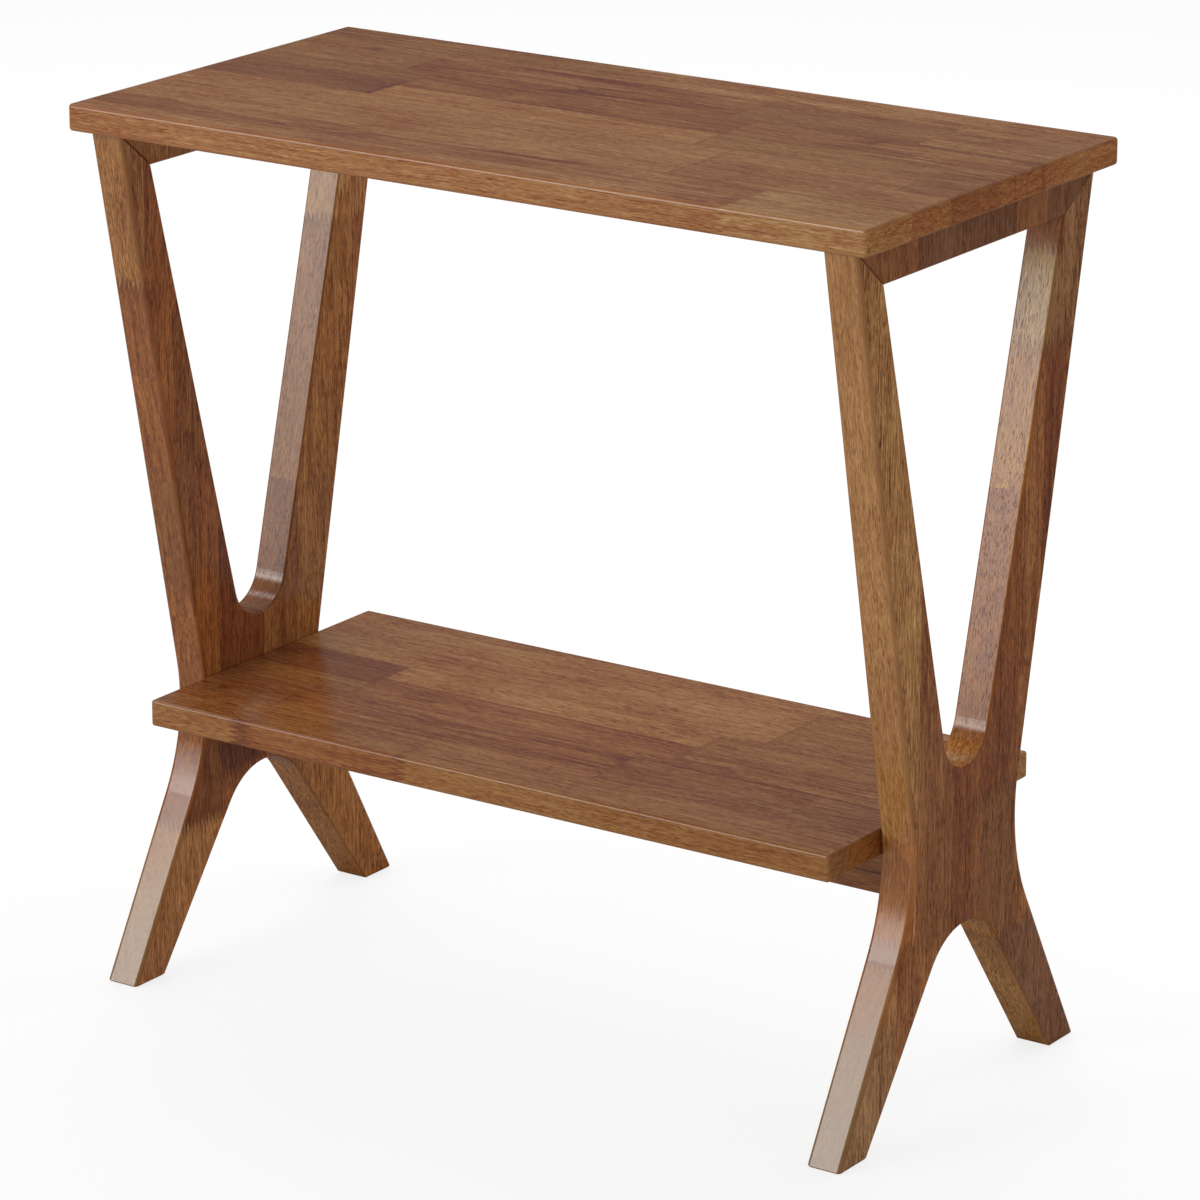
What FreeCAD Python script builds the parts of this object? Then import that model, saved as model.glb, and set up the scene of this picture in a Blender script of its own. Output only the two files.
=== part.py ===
"""End table with a shelf, in solid wood, as the separate pieces it is put together from.

Two wishbone-shaped side frames carry a flat top and an open shelf. Each frame is glued up
from a front leg, a rear leg and a mitred top rail. A stretcher stands on edge under the
shelf, between the frames. Dowels, screws and cam fittings, all out of sight, hold the lot.

Millimetres and degrees. X runs along the top's long side, Y from the front to the back and
Z up from the floor. The origin is on the floor under the middle of the top.
"""
import FreeCAD, Part
import math
import os

Vector = FreeCAD.Vector
X_AXIS = Vector(1, 0, 0)
Y_AXIS = Vector(0, 1, 0)
Z_AXIS = Vector(0, 0, 1)
FRONT = -1
REAR = 1
LEFT = -1
RIGHT = 1
SAME_PLACE = 0.01                # two points closer than this are one

# ---------------------------------------------------------------- driving dimensions
# Tabletop
table_height = 600.0
top_length = 600.0
top_depth = 300.0
top_thickness = 18.0
top_edge_radius = 2.5
top_end_overhang = 11.0          # from a frame's outer face to the end of the top

# Side frames, outer outline: narrowest level with the underside of the shelf
frame_thickness = 25.0
top_side_overhang = 8.75         # from a frame's outer corner to the long side of the top
waist_depth = 125.0              # front to back, where the frame is narrowest
waist_radius = 128.0             # of the hollow curve at the waist
foot_spread = 289.0              # front to back over both feet, on the floor
foot_length = 31.0               # of one foot's flat, along the floor

# Side frames, V opening above the shelf and arch below the stretcher
top_rail_height = 25.0
front_leg_width = 25.5           # front to back, at the underside of the top rail
rear_leg_width = 34.0            # the rear legs are the stouter ones
opening_above_shelf = 29.5       # from the shelf's top to the bottom of the opening
opening_round_radius = 27.5
opening_forward = 2.0            # how far the round sits in front of the frame's middle
arch_below_stretcher = 10.0
arch_radius = 47.0

# Eased edges
frame_edge_radius = 3.0
opening_edge_radius = 1.5
sole_bevel = 1.0
mitre_groove_depth = 0.8
shelf_edge_radius = 2.0
stretcher_edge_radius = 1.5

# Shelf and stretcher
shelf_top_height = 197.0
shelf_thickness = 18.0
shelf_depth = 241.5
shelf_forward = 2.0              # how far the shelf sits in front of the frames' middle
stretcher_height = 48.0
stretcher_thickness = 20.0

# Dowels
dowel_diameter = 8.0
dowel_bevel = 0.8
glue_clearance = 0.1             # between a dowel and the side of its hole
glue_pocket = 1.0                # beyond each end of a dowel
seam_dowel_length = 40.0
seam_dowel_edge = 14.0           # from the end of the seam to the dowel's middle
seam_dowel_inset = 8.0           # from the frame's outer face to the dowel's middle
drilling_web = 2.0               # wood left between a seam dowel and a fitting's hole
mitre_dowel_diameter = 6.0
mitre_dowel_length = 16.0
mitre_dowel_spacing = 11.0
top_dowel_root = 14.0            # how deep a top dowel sits in the rail
top_dowel_inset = 8.0            # from the end of the rail's underside
shelf_dowel_length = 32.0
shelf_dowel_edge = 18.0          # from the edge of the frame's waist
stretcher_dowel_length = 32.0
stretcher_dowel_edge = 12.0      # above the stretcher's underside

# Wood screws
blind_cover = 6.0                # wood over a screw or a dowel's hole in the top or shelf
screw_diameter = 4.0
screw_point = 4.0
screw_head_diameter = 8.0
screw_head_height = 2.6
screw_head_round = 1.0
thread_clearance = 0.05
counterbore_diameter = 10.0
rail_counterbore_depth = 7.0
stretcher_grip = 18.0            # wood between a shelf screw's head and the shelf
top_screw_inset = 40.0           # from the end of the rail's underside
shelf_screw_inset = 94.0         # from the end of the stretcher
recess_width = 1.1               # of the cross recess in a screw or a cam
recess_depth = 1.4
recess_margin = 1.5              # from the recess to the edge of the head

# Cam fittings, one at each end of the stretcher
cam_diameter = 15.0
cam_height = 12.5
cam_recess = 0.5                 # below the stretcher's rear face
cam_clearance = 0.1
cam_distance = 34.0              # from the end of the stretcher to the cam's middle
cam_edge = 12.0                  # below the stretcher's top
bolt_shaft_diameter = 5.5
bolt_thread_diameter = 6.0
bolt_hole_diameter = 8.0
bolt_head_diameter = 7.2
bolt_head_length = 3.0
bolt_collar_diameter = 7.6
bolt_collar_length = 1.5
bolt_head_clearance = 0.4

# ---------------------------------------------------------------- worked-out places
top_underside = table_height - top_thickness
rail_underside = top_underside - top_rail_height
shelf_underside = shelf_top_height - shelf_thickness
stretcher_underside = shelf_underside - stretcher_height
outer_x = top_length / 2 - top_end_overhang
inner_x = outer_x - frame_thickness
socket_depth = frame_thickness - seam_dowel_inset - dowel_diameter / 2 - drilling_web


def flat(y, z):
    """A point of a frame's outline, in the plane x = 0."""
    return Vector(0, y, z)


def mirrored(point, end):
    """A point of the rear half of the outline, or its copy in the front half."""
    return flat(end * point.y, point.z)


def at_height(start, end, z):
    """The point at a height on the line through two points of the outline."""
    return start + (end - start) * ((z - start.z) / (end.z - start.z))


def touching(point, centre, radius, turn):
    """Where a line from a point touches a circle: turn is 1 or -1, for its two sides."""
    away = point - centre
    angle = math.atan2(away.z, away.y) + turn * math.acos(radius / away.Length)
    return centre + flat(math.cos(angle), math.sin(angle)) * radius


def line(start, end):
    return Part.makeLine(start, end)


def arc(centre, start, end):
    """The shorter arc about a centre, from one point to another."""
    outward = ((start + end) * 0.5 - centre).normalize()
    middle = centre + outward * (start - centre).Length
    return Part.Arc(start, middle, end).toShape()


# ---------------------------------------------------------------- outline of a side frame
frame_top_corner = flat(top_depth / 2 - top_side_overhang, top_underside)
foot_corner = flat(foot_spread / 2, 0)
foot_inner_corner = flat(foot_spread / 2 - foot_length, 0)

waist_centre = flat(waist_depth / 2 + waist_radius, shelf_underside)
waist_start = touching(frame_top_corner, waist_centre, waist_radius, 1)
waist_end = touching(foot_corner, waist_centre, waist_radius, -1)

arch_top = flat(0, stretcher_underside - arch_below_stretcher)
arch_centre = arch_top - Z_AXIS * arch_radius
arch_start = touching(foot_inner_corner, arch_centre, arch_radius, 1)

outer_at_rail = at_height(frame_top_corner, waist_start, rail_underside).y
rail_front_end = flat(front_leg_width - outer_at_rail, rail_underside)
rail_rear_end = flat(outer_at_rail - rear_leg_width, rail_underside)
round_bottom = shelf_top_height + opening_above_shelf
round_centre = flat(-opening_forward, round_bottom + opening_round_radius)
round_front = touching(rail_front_end, round_centre, opening_round_radius, 1)
round_rear = touching(rail_rear_end, round_centre, opening_round_radius, -1)
seam_top = flat(0, round_centre.z - math.sqrt(opening_round_radius**2 - opening_forward**2))


def leg_outline(end):
    """Edges of a leg's outline in three groups: outside, openings, and glued faces and sole."""
    rail_end, round_start = {
        FRONT: (rail_front_end, round_front),
        REAR: (rail_rear_end, round_rear),
    }[end]
    top, waist_high, waist_low, foot, foot_inner, arch_low = (
        mirrored(point, end)
        for point in (
            frame_top_corner, waist_start, waist_end, foot_corner, foot_inner_corner, arch_start
        )
    )
    outside = [
        line(top, waist_high),
        arc(mirrored(waist_centre, end), waist_high, waist_low),
        line(waist_low, foot),
    ]
    openings = [
        line(foot_inner, arch_low),
        arc(arch_centre, arch_low, arch_top),
        arc(round_centre, seam_top, round_start),
        line(round_start, rail_end),
    ]
    plain = [line(foot, foot_inner), line(arch_top, seam_top), line(rail_end, top)]
    return outside, openings, plain


def prism(edges, x_low, thickness):
    """A flat piece with the outline of these edges."""
    face = Part.Face(Part.Wire(Part.__sortEdges__(edges)))
    face.translate(X_AXIS * x_low)
    return face.extrude(X_AXIS * thickness)


def middle_of(edge):
    return edge.valueAt((edge.FirstParameter + edge.LastParameter) / 2)


def long_edges(solid, drawn, x_low, thickness):
    """The solid's edges that are copies of drawn outline edges on its two flat sides."""
    places = [middle_of(edge) + X_AXIS * x for edge in drawn for x in (x_low, x_low + thickness)]
    return [
        edge
        for edge in solid.Edges
        if any(middle_of(edge).distanceToPoint(place) < SAME_PLACE for place in places)
    ]


def edges_at_height(solid, height):
    return [e for e in solid.Edges if all(abs(v.Z - height) < SAME_PLACE for v in e.Vertexes)]


def groove(start, end, out):
    """A square bar on edge along a line, which cuts a V groove where the line is on a face."""
    along = (end - start).normalize()
    across = along.cross(out).normalize()
    corners = [
        start + side * mitre_groove_depth for side in (out, across, out * -1, across * -1)
    ]
    bar = Part.Face(Part.makePolygon(corners + corners[:1]))
    return bar.extrude(end - start)


def mitre_grooves(rail_end, top_corner, x_low):
    """The fine groove round a mitre, on both faces of the frame and in the opening's corner."""
    cuts = []
    for x in (x_low, x_low + frame_thickness):
        cuts.append(groove(rail_end + X_AXIS * x, top_corner + X_AXIS * x, X_AXIS))
    low_end = rail_end + X_AXIS * x_low
    cuts.append(groove(low_end, low_end + X_AXIS * frame_thickness, Z_AXIS))
    return cuts


# ---------------------------------------------------------------- dowels and their holes
def peg(middle, axis, diameter, length):
    """A dowel with bevelled ends."""
    start = middle - axis * (length / 2)
    body_length = length - 2 * dowel_bevel
    body = Part.makeCylinder(diameter / 2, body_length, start + axis * dowel_bevel, axis)
    tip_radius = diameter / 2 - dowel_bevel
    for tip, inward in ((start, axis), (start + axis * length, axis * -1)):
        end = Part.makeCone(tip_radius, diameter / 2, dowel_bevel, tip, inward)
        body = body.fuse(end)
    return body.removeSplitter()


def peg_hole(middle, axis, diameter, length):
    """The hole for a dowel, with room for glue round it and at its ends."""
    whole = length + 2 * glue_pocket
    start = middle - axis * (whole / 2)
    return Part.makeCylinder(diameter / 2 + glue_clearance, whole, start, axis)


def drilled(solid, pegs):
    """The solid with holes for these dowels, each given as middle, axis, diameter, length."""
    for place in pegs:
        solid = solid.cut(peg_hole(*place))
    return solid


def seam_pegs(side):
    x = side * (outer_x - seam_dowel_inset)
    heights = (arch_top.z + seam_dowel_edge, seam_top.z - seam_dowel_edge)
    return [(Vector(x, 0, z), Y_AXIS, dowel_diameter, seam_dowel_length) for z in heights]


def mitre_pegs(side, end):
    rail_end = rail_front_end if end == FRONT else rail_rear_end
    top_corner = mirrored(frame_top_corner, end)
    middle = (rail_end + top_corner) * 0.5
    along = (top_corner - rail_end).normalize()
    axis = along.cross(X_AXIS).normalize()
    frame_middle = side * (outer_x + inner_x) / 2
    offsets = (-mitre_dowel_spacing / 2, mitre_dowel_spacing / 2)
    return [
        (middle + X_AXIS * (frame_middle + dx), axis, mitre_dowel_diameter, mitre_dowel_length)
        for dx in offsets
    ]


def top_pegs(side):
    x = side * (outer_x + inner_x) / 2
    low = top_underside - top_dowel_root
    high = table_height - blind_cover - glue_pocket
    z = (low + high) / 2
    length = high - low
    places = (rail_front_end.y + top_dowel_inset, rail_rear_end.y - top_dowel_inset)
    return [(Vector(x, y, z), Z_AXIS, dowel_diameter, length) for y in places]


def end_peg(side, y, z, length):
    """A dowel between a frame's inner face and the end of the shelf or the stretcher."""
    in_frame = socket_depth - glue_pocket
    x = side * (inner_x + in_frame - length / 2)
    return (Vector(x, y, z), X_AXIS, dowel_diameter, length)


def shelf_pegs(side):
    y = waist_depth / 2 - shelf_dowel_edge
    z = shelf_underside + shelf_thickness / 2
    return [end_peg(side, end * y, z, shelf_dowel_length) for end in (FRONT, REAR)]


def stretcher_peg(side):
    return end_peg(side, 0, stretcher_underside + stretcher_dowel_edge, stretcher_dowel_length)


# ---------------------------------------------------------------- screws and cam fittings
def cross_recess(centre, axis, sideways, span):
    """Two crossed slots, sunk along axis from the centre of a head's face."""
    other = axis.cross(sideways)
    slots = []
    for long_way, short_way in ((sideways, other), (other, sideways)):
        corner = centre - long_way * (span / 2) - short_way * (recess_width / 2)
        wall = [
            corner,
            corner + long_way * span,
            corner + long_way * span + short_way * recess_width,
            corner + short_way * recess_width,
        ]
        face = Part.Face(Part.makePolygon(wall + wall[:1]))
        slots.append(face.extrude(axis * recess_depth))
    return slots[0].fuse(slots[1])


def screw(seat, tip_z):
    """A pan-head wood screw that points up, from the underside of its head to its tip."""
    straight = tip_z - seat.z - screw_point
    shank = Part.makeCylinder(screw_diameter / 2, straight, seat, Z_AXIS)
    point = Part.makeCone(screw_diameter / 2, 0, screw_point, seat + Z_AXIS * straight, Z_AXIS)
    face_centre = seat - Z_AXIS * screw_head_height
    head = Part.makeCylinder(screw_head_diameter / 2, screw_head_height, face_centre, Z_AXIS)
    head = head.makeFillet(screw_head_round, edges_at_height(head, face_centre.z))
    span = screw_head_diameter - 2 * recess_margin
    recess = cross_recess(face_centre, Z_AXIS, X_AXIS, span)
    return head.fuse([shank, point]).cut(recess).removeSplitter()


def screw_hole(seat, surface_z, tip_z):
    """The counterbore from the surface up to the seat, and the hole that the thread cuts."""
    depth = seat.z - surface_z
    bore = Part.makeCylinder(counterbore_diameter / 2, depth, seat - Z_AXIS * depth, Z_AXIS)
    thread = Part.makeCylinder(
        screw_diameter / 2 + thread_clearance, tip_z + thread_clearance - seat.z, seat, Z_AXIS
    )
    return bore.fuse(thread)


top_screw_tip = table_height - blind_cover
shelf_screw_tip = shelf_top_height - blind_cover


def top_screw_seats(side):
    x = side * (outer_x + inner_x) / 2
    places = (rail_front_end.y + top_screw_inset, rail_rear_end.y - top_screw_inset)
    return [Vector(x, y, rail_underside + rail_counterbore_depth) for y in places]


def shelf_screw_seats():
    reach = inner_x - shelf_screw_inset
    return [Vector(x, 0, shelf_underside - stretcher_grip) for x in (-reach, 0, reach)]


def top_screw_holes(side):
    return [screw_hole(seat, rail_underside, top_screw_tip) for seat in top_screw_seats(side)]


def shelf_screw_holes():
    return [
        screw_hole(seat, stretcher_underside, shelf_screw_tip) for seat in shelf_screw_seats()
    ]


cam_face_y = stretcher_thickness / 2 - cam_recess
cam_axis_y = cam_face_y - cam_height / 2
cam_z = shelf_underside - cam_edge
thread_length = socket_depth - glue_pocket


def cam_lock(side):
    """The round cam in the stretcher, hollow towards the bolt, with a cross recess behind."""
    centre = Vector(side * (inner_x - cam_distance), cam_axis_y, cam_z)
    start = centre - Y_AXIS * (cam_height / 2)
    body = Part.makeCylinder(cam_diameter / 2, cam_height, start, Y_AXIS)
    hollow_radius = bolt_head_diameter / 2 + bolt_head_clearance
    hollow_start = centre - X_AXIS * (side * bolt_head_length)
    hollow = Part.makeCylinder(hollow_radius, cam_diameter, hollow_start, X_AXIS * side)
    face_centre = centre + Y_AXIS * (cam_height / 2)
    recess = cross_recess(face_centre, Y_AXIS * -1, X_AXIS, bolt_head_diameter)
    return body.cut(hollow).cut(recess)


def cam_bolt(side):
    """The bolt that is screwed into the frame and whose head the cam pulls on."""
    out = X_AXIS * side
    seat = Vector(side * inner_x, cam_axis_y, cam_z)
    thread = Part.makeCylinder(bolt_thread_diameter / 2, thread_length, seat, out)
    collar_start = seat - out * bolt_collar_length
    collar = Part.makeCylinder(bolt_collar_diameter / 2, bolt_collar_length, collar_start, out)
    head_start = seat - out * cam_distance
    shaft = Part.makeCylinder(bolt_shaft_diameter / 2, cam_distance, head_start, out)
    head = Part.makeCylinder(bolt_head_diameter / 2, bolt_head_length, head_start, out)
    return thread.fuse([collar, shaft, head]).removeSplitter()


def cam_pocket(side):
    """The cam's hole from behind and the bolt's hole from the end of the stretcher."""
    cam_x = side * (inner_x - cam_distance)
    depth = cam_recess + cam_height
    floor = Vector(cam_x, stretcher_thickness / 2 - depth, cam_z)
    pocket = Part.makeCylinder(cam_diameter / 2 + cam_clearance, depth, floor, Y_AXIS)
    start = Vector(cam_x, cam_axis_y, cam_z)
    bore = Part.makeCylinder(bolt_hole_diameter / 2, cam_distance, start, X_AXIS * side)
    return pocket.fuse(bore)


def thread_socket(side):
    """The hole in the frame that the bolt's thread cuts."""
    seat = Vector(side * inner_x, cam_axis_y, cam_z)
    radius = bolt_thread_diameter / 2 + thread_clearance
    return Part.makeCylinder(radius, socket_depth, seat, X_AXIS * side)


# ---------------------------------------------------------------- the wooden pieces
def frame_x_low(side):
    return inner_x if side == RIGHT else -outer_x


def leg(side, end):
    """One half of a side frame, from the mitre of the top rail down to its foot."""
    x_low = frame_x_low(side)
    outside, openings, plain = leg_outline(end)
    solid = prism(outside + openings + plain, x_low, frame_thickness)
    outside_edges = long_edges(solid, outside, x_low, frame_thickness)
    solid = solid.makeFillet(frame_edge_radius, outside_edges)
    opening_edges = long_edges(solid, openings, x_low, frame_thickness)
    solid = solid.makeFillet(opening_edge_radius, opening_edges)
    solid = solid.makeChamfer(sole_bevel, edges_at_height(solid, 0))
    rail_end = rail_front_end if end == FRONT else rail_rear_end
    solid = solid.cut(mitre_grooves(rail_end, mirrored(frame_top_corner, end), x_low))
    pegs = seam_pegs(side) + mitre_pegs(side, end) + shelf_pegs(side) + [stretcher_peg(side)]
    return drilled(solid, pegs).cut(thread_socket(side))


def top_rail(side):
    """The rail across the tops of both legs, under the tabletop."""
    x_low = frame_x_low(side)
    rear_corner = frame_top_corner
    front_corner = mirrored(frame_top_corner, FRONT)
    underside = line(rail_front_end, rail_rear_end)
    others = [
        line(rail_rear_end, rear_corner),
        line(rear_corner, front_corner),
        line(front_corner, rail_front_end),
    ]
    solid = prism([underside] + others, x_low, frame_thickness)
    lower_edges = long_edges(solid, [underside], x_low, frame_thickness)
    solid = solid.makeFillet(opening_edge_radius, lower_edges)
    solid = solid.cut(mitre_grooves(rail_front_end, front_corner, x_low))
    solid = solid.cut(mitre_grooves(rail_rear_end, rear_corner, x_low))
    solid = drilled(solid, mitre_pegs(side, FRONT) + mitre_pegs(side, REAR) + top_pegs(side))
    return solid.cut(top_screw_holes(side))


def board(length, depth, thickness, low_corner, radius):
    """A flat board with all its edges eased."""
    box = Part.makeBox(length, depth, thickness, low_corner)
    return box.makeFillet(radius, box.Edges)


def tabletop():
    corner = Vector(-top_length / 2, -top_depth / 2, top_underside)
    solid = board(top_length, top_depth, top_thickness, corner, top_edge_radius)
    for side in (LEFT, RIGHT):
        solid = drilled(solid, top_pegs(side))
        solid = solid.cut(top_screw_holes(side))
    return solid


def shelf_board():
    corner = Vector(-inner_x, -shelf_depth / 2 - shelf_forward, shelf_underside)
    solid = board(2 * inner_x, shelf_depth, shelf_thickness, corner, shelf_edge_radius)
    solid = drilled(solid, shelf_pegs(LEFT) + shelf_pegs(RIGHT))
    return solid.cut(shelf_screw_holes())


def shelf_stretcher():
    corner = Vector(-inner_x, -stretcher_thickness / 2, stretcher_underside)
    solid = Part.makeBox(2 * inner_x, stretcher_thickness, stretcher_height, corner)
    lower = edges_at_height(solid, stretcher_underside)
    long_lower = [edge for edge in lower if edge.Length > stretcher_thickness]
    solid = solid.makeFillet(stretcher_edge_radius, long_lower)
    solid = drilled(solid, [stretcher_peg(LEFT), stretcher_peg(RIGHT)])
    solid = solid.cut([cam_pocket(LEFT), cam_pocket(RIGHT)])
    return solid.cut(shelf_screw_holes())


# ---------------------------------------------------------------- all nodes
nodes = {
    "tabletop": [tabletop()],
    "shelf_board": [shelf_board()],
    "shelf_stretcher": [shelf_stretcher()],
    "shelf_screws": [screw(seat, shelf_screw_tip) for seat in shelf_screw_seats()],
}
for side, hand in ((LEFT, "left"), (RIGHT, "right")):
    nodes[hand + "_front_leg"] = [leg(side, FRONT)]
    nodes[hand + "_rear_leg"] = [leg(side, REAR)]
    nodes[hand + "_top_rail"] = [top_rail(side)]
    nodes[hand + "_seam_dowels"] = [peg(*place) for place in seam_pegs(side)]
    nodes[hand + "_front_mitre_dowels"] = [peg(*place) for place in mitre_pegs(side, FRONT)]
    nodes[hand + "_rear_mitre_dowels"] = [peg(*place) for place in mitre_pegs(side, REAR)]
    nodes[hand + "_top_dowels"] = [peg(*place) for place in top_pegs(side)]
    nodes[hand + "_top_screws"] = [screw(seat, top_screw_tip) for seat in top_screw_seats(side)]
    nodes[hand + "_shelf_dowels"] = [peg(*place) for place in shelf_pegs(side)]
    nodes[hand + "_stretcher_dowel"] = [peg(*stretcher_peg(side))]
    nodes[hand + "_cam_bolt"] = [cam_bolt(side)]
    nodes[hand + "_cam_lock"] = [cam_lock(side)]

os.makedirs("parts", exist_ok=True)
for name, solids in nodes.items():
    shape = solids[0] if len(solids) == 1 else Part.makeCompound(solids)
    shape.exportStep("parts/" + name + ".step")
    print(f"{name:28s} {len(shape.Solids)} solid(s) {shape.Volume / 1000:9.2f} cm3")
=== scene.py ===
# %% [markdown]
# # An end table with a shelf, in brown lacquered stave wood
#
# The table is a flat top on two wishbone frames, with one shelf between them. All of its
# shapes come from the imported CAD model, so this lesson is about the finish: boards glued
# up from short staves, stained brown and sprayed with a satin lacquer. We load the model,
# set up a camera and a small studio, write the wood as shader node groups, and then lay
# the staves of each board one by one.

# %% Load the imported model
import math
from collections import namedtuple

import bmesh
import bpy
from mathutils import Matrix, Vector

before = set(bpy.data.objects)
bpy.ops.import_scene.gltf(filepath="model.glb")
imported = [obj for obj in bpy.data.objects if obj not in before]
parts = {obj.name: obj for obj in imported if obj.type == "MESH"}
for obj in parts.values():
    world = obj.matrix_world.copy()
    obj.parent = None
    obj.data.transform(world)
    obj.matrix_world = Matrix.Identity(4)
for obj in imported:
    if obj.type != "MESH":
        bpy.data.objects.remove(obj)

scene = bpy.context.scene
print("parts:", len(parts))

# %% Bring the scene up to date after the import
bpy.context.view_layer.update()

# %% [markdown]
# ## The camera
#
# A long lens from far away keeps upright lines nearly parallel, as in a catalogue picture.
# The camera looks at a point in the middle of the table from the right, a little above.
# Two angles say from which side it looks and how steeply, and the same direction places
# and turns it, so it always faces its point. The small shift slides the picture on the
# film without turning the camera, which keeps the perspective.

# %% Where the camera stands
def direction(azimuth, elevation):
    """A unit vector: azimuth 0 is from the front, growing to the right."""
    a, e = math.radians(azimuth), math.radians(elevation)
    return Vector((math.sin(a) * math.cos(e), -math.cos(a) * math.cos(e), math.sin(e)))


toward_camera = direction(azimuth=34.792, elevation=16.809)
camera_distance = 3.6655    # metres from the aim point
aim_point = Vector((-0.035838, 0, 0.316327))
print("the camera looks from", [round(number, 3) for number in toward_camera])

# %% Camera
lens = bpy.data.cameras.new("camera")
lens.sensor_width = 36
lens.lens = 169.165
lens.shift_x, lens.shift_y = 0.05, -0.05
lens.clip_start, lens.clip_end = 0.1, 60
lens.dof.use_dof = False
camera = bpy.data.objects.new("camera", lens)
scene.collection.objects.link(camera)
camera.location = aim_point + camera_distance * toward_camera
camera.rotation_euler = (-toward_camera).to_track_quat("-Z", "Y").to_euler()
scene.camera = camera
print("camera at", [round(number, 3) for number in camera.location])

# %% [markdown]
# ## The studio
#
# A lacquered board shows its surroundings: most of what we see on it is the reflection of
# the room. A tall window of soft light stands in front and to the left. It shows as the
# milky sheen on the faces that lean back, and because it is dim at the bottom and bright
# near the top, the feet shine more than the legs. We build it from strips, most of them
# brighter than the one below, and the lacquer blurs the steps away. A small lamp high on
# the left gives the second glint in the bottom of the fork, and two lamps behind the table
# light its shaded sides.

# %% Lamps: the power follows from how bright the lamp's face should look
def soft_lamp(name, at, facing, width, height, brightness):
    lamp = bpy.data.lights.new(name, "AREA")
    lamp.shape = "RECTANGLE"
    lamp.size, lamp.size_y = width, height
    lamp.energy = brightness * math.pi * width * height
    holder = bpy.data.objects.new(name, lamp)
    holder.location = at
    holder.rotation_euler = Vector(facing).to_track_quat("-Z", "Y").to_euler()
    holder.visible_camera = False
    scene.collection.objects.link(holder)
    print(name, "power", round(lamp.energy, 2), "W")
    return holder


window_strips = [1.6, 3.0, 3.8, 4.4, 6.8, 9.4, 7.6, 3.6]    # brightness, from the bottom up
window_bottom, window_width, strip_height = 0.50, 2.3, 0.25
for number, brightness in enumerate(window_strips):
    soft_lamp("window_strip_%d" % number, (-2.15, -3.0, window_bottom + strip_height * number),
              (0, 1, 0), window_width, strip_height, brightness)
soft_lamp("window_near", (-1.35, -2.98, 0.95), (0, 1, 0), 0.8, 0.80, 1.4)
soft_lamp("high_left_lamp", (-1.75, -0.20, 2.10), (0.8, 0.15, -1.0), 0.50, 0.26, 5.5)

# %% The two lamps behind light the wood, and stay out of the lacquer
back_lamp = soft_lamp("back_left_lamp", (-1.5, 2.2, 2.3), (1.5, -2.2, -1.9), 2.4, 1.5, 3.4)
low_lamp = soft_lamp("low_back_lamp", (0.30, 1.0, 0.45), (-0.564, -1.0, -0.12), 0.8, 0.5, 4.2)
for holder in (back_lamp, low_lamp):
    holder.visible_glossy = False

# %% [markdown]
# ## Words for node trees
#
# The room, the floor and the wood are all node trees. Written out node by node they would
# be long and hard to read, so we first make a few words for what we do all the time: put a
# node down, feed a socket, calculate with numbers, vectors and colours.

# %% Put and feed
def put(tree, kind, **settings):
    """Adds a node, with its settings, to a material's or a group's tree."""
    node = tree.nodes.new(kind)
    for key, value in settings.items():
        setattr(node, key, value)
    return node


def feed(tree, socket, value):
    """Gives a socket its input: another node's output, or a plain value."""
    if isinstance(value, bpy.types.NodeSocket):
        tree.links.new(value, socket)
    else:
        socket.default_value = value


def feed_all(tree, node, values):
    for socket, value in zip(node.inputs, values):
        feed(tree, socket, value)
    return node


print("ready to put nodes down and feed them")

# %% Numbers and vectors
def calc(tree, operation, *values):
    return feed_all(tree, put(tree, "ShaderNodeMath", operation=operation), values).outputs[0]


def vector_calc(tree, operation, *values):
    node = feed_all(tree, put(tree, "ShaderNodeVectorMath", operation=operation), values)
    gives_number = operation in ("DOT_PRODUCT", "LENGTH")
    return node.outputs["Value" if gives_number else "Vector"]


def split(tree, vector):
    """The X, Y and Z of a vector."""
    return feed_all(tree, put(tree, "ShaderNodeSeparateXYZ"), [vector]).outputs


def join(tree, *values):
    """A vector from its X, Y and Z."""
    return feed_all(tree, put(tree, "ShaderNodeCombineXYZ"), values).outputs[0]


def soft_step(tree, value, low, high, at_low=0.0, at_high=1.0):
    """Goes smoothly from at_low to at_high while the value goes from low to high."""
    node = put(tree, "ShaderNodeMapRange", interpolation_type="SMOOTHSTEP")
    feed(tree, node.inputs["Value"], value)
    for title, number in (("From Min", low), ("From Max", high),
                          ("To Min", at_low), ("To Max", at_high)):
        node.inputs[title].default_value = number
    return node.outputs[0]


print("ready to calculate with numbers and vectors")

# %% Colours and shaders
def blend(tree, share, first, second, mode="MIX"):
    """Mixes two colours: share 0 gives the first one."""
    node = put(tree, "ShaderNodeMix", data_type="RGBA", blend_type=mode)
    for socket, value in zip((node.inputs[0], node.inputs[6], node.inputs[7]),
                             (share, first, second)):
        feed(tree, socket, value)
    return node.outputs[2]


def mix_shaders(tree, share, first, second):
    return feed_all(tree, put(tree, "ShaderNodeMixShader"), (share, first, second)).outputs[0]


white = (1.0, 1.0, 1.0, 1.0)
print("ready to mix colours and shaders")

# %% [markdown]
# ## The room
#
# A ray that leaves the studio meets the world. The wood is lit by a grey world, a little
# dimmer toward the upper right in front. A real studio is far darker than its lamps, so
# the lacquer gets a darker room to mirror than the one that lights the wood: nearly black
# at the horizon, and grey overhead. The camera, and anything seen through glass, gets a
# white one. The Light Path node tells which of these a ray is.

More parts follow.
